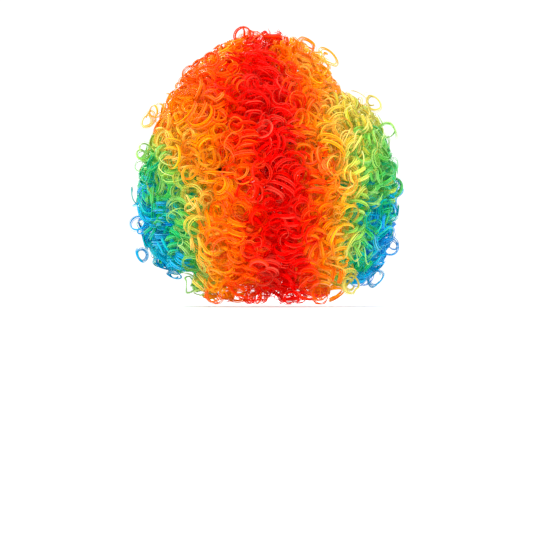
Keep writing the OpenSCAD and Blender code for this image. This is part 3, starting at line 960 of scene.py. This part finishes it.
def axes_of(part):
    """A flat part's middle, and its directions and sizes from its longest to its thinnest."""
    spread = np.unique(np.round(points_of(frame["nodes"][part].data), 6), axis=0)
    middle = spread.mean(0)
    _, _, ways = np.linalg.svd(spread - middle)
    sizes = np.ptp((spread - middle) @ ways.T, axis=0)
    order = np.argsort(-sizes)
    return middle, ways[order], sizes[order]


def towards_head(middle, way):
    return way * (1 if way @ (CENTRE - middle) > 0 else -1)


def dashes(line_from, line_to, pitch=2.6 * MM, share=0.6):
    """Running stitches from one point to another."""
    way = line_to - line_from
    count = max(2, int(np.linalg.norm(way) / pitch))
    return [
        [line_from + way * (k + 0.2) / count, line_from + way * (k + 0.2 + share) / count]
        for k in range(count)
    ]


def make_net(material):
    outward = lambda f: f.normal.dot((f.calc_center_median() - Vector(CENTRE)).normalized()) > 0.7
    for i in range(1, 8):
        piece = copy_of(f"net_{i}", f"net_panel_{i}", keep=outward, cuts=2)
        d = unit(points_of(piece.data) - CENTRE)
        set_points(piece.data, CENTRE + d * layer_reach(d, -0.35 * MM)[:, None])
        wire = piece.modifiers.new("threads", "WIREFRAME")
        wire.thickness = 0.55 * MM
        wire.use_even_offset = False
        wire.use_boundary = True
        finish_piece(piece, material, "cap", "stretch_net", f"net_panel_{i}")


def make_ribbons(ribbon, elastic, stitch):
    for i in range(1, 7):
        piece = copy_of(f"ribbon_{i}", f"cross_ribbon_{i}", cuts=1)
        pucker(piece, 0.12 * MM, 60 + i)
        finish_piece(soften(piece, 0.3 * MM), ribbon, "cap", "cross_ribbon", f"cross_ribbon_{i}")
    front = pucker(copy_of("front_ribbon", "front_hairline_ribbon", cuts=2), 0.15 * MM, 71)
    finish_piece(soften(front, 0.4 * MM), ribbon, "cap", "hairline_ribbon", "front_hairline_ribbon")
    back = pucker(copy_of("back_elastic", "rim_elastic", cuts=2), 0.2 * MM, 72)
    finish_piece(soften(back, 0.45 * MM), elastic, "cap", "rim_elastic", "rim_elastic")
    # zigzag stitches inside both bands, one corner every 1.3 degrees
    for name, first, last, low, high, slot in (
        ("front_zigzag", -86, 86, 7.5, 10, "hairline_ribbon"),
        ("back_zigzag", 90, 270, 10.5, 13, "rim_elastic"),
    ):
        count = int((last - first) / 1.3)
        line = [
            rim_point(first + (last - first) * k / count, (low, high)[k % 2] * MM, -0.12 * MM)
            for k in range(count + 1)
        ]
        thread(name, [line], stitch, slot, thick=0.4 * MM)


def flap_edge(part, way, thick):
    """The middle of a flap's edge, in order round it: halfway up each of its upright lines."""
    source = copy_of("outline", part)
    at = points_of(source.data)
    found = []
    for edge in source.data.edges:
        a, b = at[edge.vertices[0]], at[edge.vertices[1]]
        upright = abs(abs((b - a) @ way) - thick) < 1e-5
        if upright and np.linalg.norm(b - a) < thick * 1.01:
            found.append((a + b) / 2)
    bpy.data.objects.remove(source)
    found = np.array(found)
    centre = found.mean(0)
    # it starts and ends at the seam, which is its highest side
    seam = found[np.argsort(-found[:, 2])[:2]].mean(0)
    up = unit(seam - centre)
    aside = np.cross(way, up)
    return found[np.argsort(np.arctan2((found - centre) @ aside, -((found - centre) @ up)))]


def make_ear_tabs(cloth, binding, stitch):
    for side in SIDES:
        part = f"ear_tab_{side}"
        piece = copy_of(f"tab_{side}", part, cuts=1)
        finish_piece(soften(piece, 0.55 * MM, 3), cloth, part, "tab_fabric", part)
        _, ways, sizes = axes_of(part)
        rim = flap_edge(part, ways[2], sizes[2])
        thread(f"tab_binding_{side}", [rim], binding, "tab_fabric", part, thick=2.3 * MM)
        centre = rim.mean(0)
        inset = centre + (rim - centre) * 0.86
        lines = []
        for face in (-1, 1):
            shift = ways[2] * face * (sizes[2] / 2 + THREAD_LIFT)
            for a, b in zip(inset[:-1], inset[1:]):
                if np.linalg.norm(b - a) > 4 * MM:
                    lines += dashes(a + shift, b + shift, 2.4 * MM)
                else:
                    lines += [[a + shift, a + shift + (b - a) * 0.6]]
        thread(f"tab_stitches_{side}", lines, stitch, "tab_fabric", part)


def make_adjusters(tape, loop_thread, elastic, plastic, stitch):
    for side in SIDES:
        part = f"loop_tape_{side}"
        piece = copy_of(f"tape_{side}", part, cuts=2)
        finish_piece(soften(piece, 0.25 * MM), tape, "cap", "loop_tape", part)
        middle, ways, sizes = axes_of(part)
        along = ways[0] * (sizes[0] / 2 - 1 * MM)
        lift = towards_head(middle, ways[2]) * (sizes[2] / 2 + THREAD_LIFT)
        lines = []
        for edge in (-1, 1):
            at = middle + ways[1] * edge * (sizes[1] / 2 - 0.7 * MM) + lift
            lines += dashes(at - along, at + along)
        thread(f"tape_stitches_{side}", lines, stitch, "loop_tape", thick=0.28 * MM)
        piece = copy_of(f"thread_loops_{side}", f"loops_{side}", cuts=1)
        finish_piece(soften(piece, 0.2 * MM), loop_thread, "cap", "loop_thread", f"loops_{side}")
        hook = f"adjuster_hook_{side}"
        piece = soften(copy_of(f"hook_{side}", hook), 0.13 * MM, 2, 50)
        finish_piece(piece, plastic, hook, "hook_plastic", hook)
        # the elastic is sewn to the tape at one end and has its eye at the hook; it is copied where
        # the CAD part stands
        piece = copy_of(f"strap_{side}", f"adjuster_strap_{side}", cuts=3)
        piece.data.materials.clear()
        piece.data.materials.append(elastic)
        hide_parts(f"adjuster_strap_{side}")
        joint = next(j for j in frame["joints"] if j["name"] == f"adjuster_{side}_pull")
        axis = unit(np.array(joint["axis"], float))
        points = points_of(piece.data)
        run = points @ axis
        middle = points.mean(0)
        at = lambda r: tuple(middle + axis * (r - middle @ axis))
        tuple(at(run.min() + 6 * MM))
        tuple(at(run.max() - 4 * MM))
        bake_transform(piece)


def make_label(satin, stitch):
    middle, ways, sizes = axes_of("care_label")
    if ways[1][2] < 0:
        ways[1] = -ways[1]
    inward = towards_head(middle, ways[2])
    bm = bmesh.new()
    bmesh.ops.create_grid(bm, x_segments=16, y_segments=10, size=0.5)
    for vert in bm.verts:
        x, y = vert.co.x, vert.co.y
        curl = 1.1 * MM * (0.5 - y) ** 2 + 0.35 * MM * math.sin(5 * x + 1) * (0.5 - y)
        vert.co = Vector(middle + ways[0] * x * sizes[0] + ways[1] * y * sizes[1] + inward * curl)
    piece = add_object("label", mesh_of("label", bm))
    thick = piece.modifiers.new("thickness", "SOLIDIFY")
    thick.thickness = 0.25 * MM
    thick.offset = 0
    finish_piece(piece, satin, "cap", "label_satin", "care_label")
    edge = middle + ways[1] * (sizes[1] / 2 - 1.2 * MM) + inward * 0.2 * MM
    along = ways[0] * (sizes[0] / 2 - 1 * MM)
    lines = dashes(edge - along, edge + along, 2.2 * MM)
    thread("label_stitches", lines, stitch, "label_satin", thick=0.28 * MM)


def make_wefts():
    dyes = {
        "red": ("#f00400", "#a00000"),
        "orange": ("#ff8000", "#d04400"),
        "yellow": ("#e0c800", "#c0a000"),
        "green": ("#20b850", "#108030"),
        "blue": ("#00a0e0", "#0068a8"),
    }
    for colour in COLOURS:
        material = sewn_fibre_material(f"{colour} weft head", *dyes[colour])
        for end in [""] if colour == "red" else ["_left", "_right"]:
            part = f"weft_heads_{colour}{end}"
            piece = pucker(copy_of(f"wefts_{colour}{end}", part, cuts=1), 0.22 * MM, 80, 90)
            finish_piece(soften(piece, 0.4 * MM), material, "cap", f"weft_{colour}", part)


def make_cap():
    weave = cloth_pattern_group()
    net = cloth_material("black net thread", weave, "#08080a", "#2a2a2e", 3200, 0.1 * MM)
    ribbon = cloth_material("black woven ribbon", weave, "#0a0a0c", "#303036", 1700)
    tab = cloth_material("black tricot", weave, "#0c0c0e", "#2a2a30", 1300)
    binding = cloth_material("black binding", weave, "#0a0a0c", "#34343a", 2100)
    tape = cloth_material("black tape", weave, "#0e0e10", "#38383e", 1500)
    loop_thread = cloth_material("black bar tack", weave, "#101012", "#3c3c44", 2600)
    stitch = cloth_material(
        "grey-black sewing thread", weave, "#1c1c20", "#54545c", 3400, 0.1 * MM
    )
    narrow = cloth_material("narrow elastic", weave, "#0a0a0c", "#34343a", 1900)
    satin = cloth_material("white satin", weave, "#d8d8d4", "#f4f4f0", 2400, 0.08 * MM, 0.4)
    plastic = moulded_plastic_material("black moulded plastic")
    make_net(net)
    make_ribbons(ribbon, ribbed_elastic_material("ribbed black elastic"), stitch)
    make_ear_tabs(tab, binding, stitch)
    make_adjusters(tape, loop_thread, narrow, plastic, stitch)
    make_label(satin, stitch)
    make_wefts()


# --- Camera, light and floor ----------------------------------------------------------------------

CAMERA_DISTANCE = 3.4
FRAME_WIDTH = 0.672
LIGHTS_AIM = Vector((0, 0, 0.03))


def add_camera():
    """Straight behind the head, level, from far enough that the outline hardly narrows."""
    data = bpy.data.cameras.new("camera")
    data.sensor_width = 36
    data.lens = data.sensor_width * CAMERA_DISTANCE / FRAME_WIDTH
    data.clip_end = 50
    camera = add_object("camera", data)
    camera.location = (-0.0145, CAMERA_DISTANCE, -0.094)
    camera.rotation_euler = (math.pi / 2, 0, math.pi)
    bpy.context.scene.camera = camera


def add_light(name, place, size, power):
    data = bpy.data.lights.new(name, "AREA")
    data.size = size
    data.energy = power
    light = add_object(name, data)
    light.location = place
    light.rotation_euler = (LIGHTS_AIM - Vector(place)).to_track_quat("-Z", "Y").to_euler()


def add_studio():
    world = bpy.data.worlds.new("white room")
    world.use_nodes = True
    background = world.node_tree.nodes["Background"]
    background.inputs["Color"].default_value = (1, 1, 1, 1)
    background.inputs["Strength"].default_value = 1.1
    bpy.context.scene.world = world
    bpy.context.scene.view_settings.view_transform = "Standard"
    add_light("key", (1.3, 2.3, 2.0), 0.35, 55)
    add_light("fill", (-2.0, 2.0, 1.0), 0.4, 24)
    add_light("face side", (0.6, -2.4, 1.4), 1.0, 45)


def add_floor(level):
    bm = bmesh.new()
    bmesh.ops.create_grid(bm, x_segments=1, y_segments=1, size=12)
    bmesh.ops.translate(bm, verts=bm.verts, vec=(0, 0, level))
    floor = add_object("floor", mesh_of("floor", bm))
    material, _ = new_material("pale floor")
    set_surface(material, {"Base Color": (0.92, 0.92, 0.92, 1), "Roughness": 0.8})
    floor.data.materials.append(material)


# --- The wig --------------------------------------------------------------------------------------


def grow_hair():
    """All the ringlets, in layers from the surface in."""
    outer = scatter(14 * MM, 9 * MM)
    middle = scatter(16 * MM, 22 * MM)
    inner = scatter(20 * MM, 40 * MM)
    nape = scatter(11 * MM, 30 * MM)
    nape = nape[(nape[:, 2] < -0.1) & (nape[:, 1] > 0.2)]
    # directions, depth, radius, pitch, length (mm), strands, rings, outward share and width (mm)
    layers = [
        (outer, 9, (7, 11.5), (7.5, 11), (26, 40), 6, 43, 0.62, 1.4),
        (middle, 22, (7, 11), (9, 13), (30, 48), 4, 30, 0.35, 2.1),
        (inner, 40, (9, 13), (9, 13), (34, 54), 4, 28, 0.3, 2.4),
        (nape, 30, (9, 13), (9, 13), (34, 50), 3, 24, 0.1, 4.6),
    ]
    metres = lambda pair: (pair[0] * MM, pair[1] * MM)
    return [
        ringlets(
            d, depth * MM, metres(radius), metres(pitch), metres(length), strands, rings, out,
            wide * MM,
        )
        for d, depth, radius, pitch, length, strands, rings, out, wide in layers
    ] + [roots(2400), flyaways(260), stray_locks()]


add_camera()
add_studio()

make_cap()

fibre_group = dyed_fibre_group()
layers = grow_hair()
for k, colour in enumerate(COLOURS):
    material = fibre_material(f"{colour} fibre", fibre_group, SHEENS[k])
    for side in SIDES:
        for z, zone in enumerate(ZONES):
            picked = []
            for bands in layers:
                ours = bands["curl_dye"].astype(int) == k
                ours = ours & (bands["left"] == (side == "left")) & (bands["zone"] == z)
                picked.append({key: value[ours] for key, value in bands.items()})
            piece = band_piece(f"{colour}_curls_{side}_{zone}", picked, material)
            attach(piece, "cap")
            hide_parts(f"hair_{colour}" + ("" if colour == "red" else f"_{side}"))

add_floor(cad_bounds[0][2] - 6 * MM)
